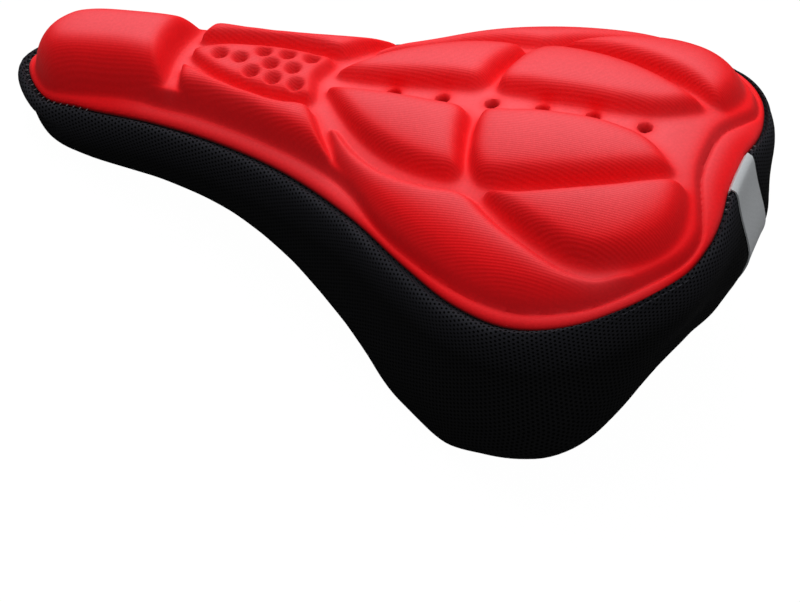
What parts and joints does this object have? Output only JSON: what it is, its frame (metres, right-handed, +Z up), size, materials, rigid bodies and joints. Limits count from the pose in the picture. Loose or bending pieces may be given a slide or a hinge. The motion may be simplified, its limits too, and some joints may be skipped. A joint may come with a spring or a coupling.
{
  "type": "bike saddle cover",
  "caption": "Padded slip-on cover for a bicycle saddle: red moulded top with raised pads, black mesh skirt with an elastic hem, and a reflective strip at the back.",
  "frame": {"origin": "middle of the cover's box, on the level of the hem that it rests on", "axes": "+X from the nose to the rear, +Y to one side, +Z up out of the seat"},
  "size_m": [0.2815, 0.1808, 0.1119],
  "materials": {
    "red_fabric": "fine ribbed knit",
    "black_mesh": "spacer mesh",
    "black_elastic": "matt",
    "reflective_grey": "reflective tape"
  },
  "bodies": {
    "root": {"top_pad": "red_fabric", "skirt": "black_mesh", "hem_elastic": "black_elastic", "reflective_strip": "reflective_grey"}
  },
  "joints": []
}
